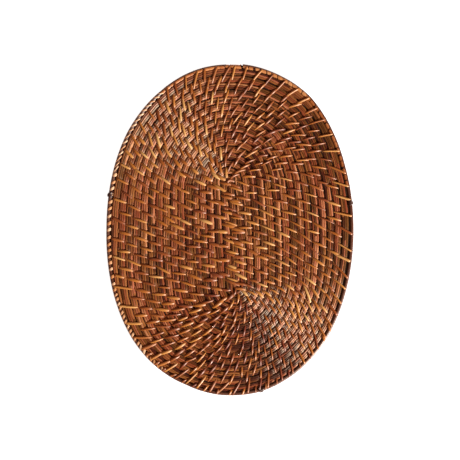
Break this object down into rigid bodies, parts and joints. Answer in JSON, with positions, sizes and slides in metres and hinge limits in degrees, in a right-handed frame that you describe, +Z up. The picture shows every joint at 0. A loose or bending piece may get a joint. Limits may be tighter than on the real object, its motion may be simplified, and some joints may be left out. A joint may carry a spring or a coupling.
{
  "type": "coiled cane placemat",
  "caption": "Flat oval placemat of coiled cane, its rows raised on both faces, with a thin round cane as the rim.",
  "frame": {"origin": "middle of the underside, on the surface that the mat lies on", "axes": "+Z up, out of the face that a plate stands on; Y along the long axis of the oval, +Y at the end where the rim's ends lap; X across it"},
  "size_m": [0.2996, 0.4016, 0.006],
  "materials": {
    "cane": "stained split cane, satin",
    "rim": "stained round cane, satin"
  },
  "bodies": {
    "root": {"coiled_mat": "cane", "rim_cane": "rim"}
  },
  "joints": []
}
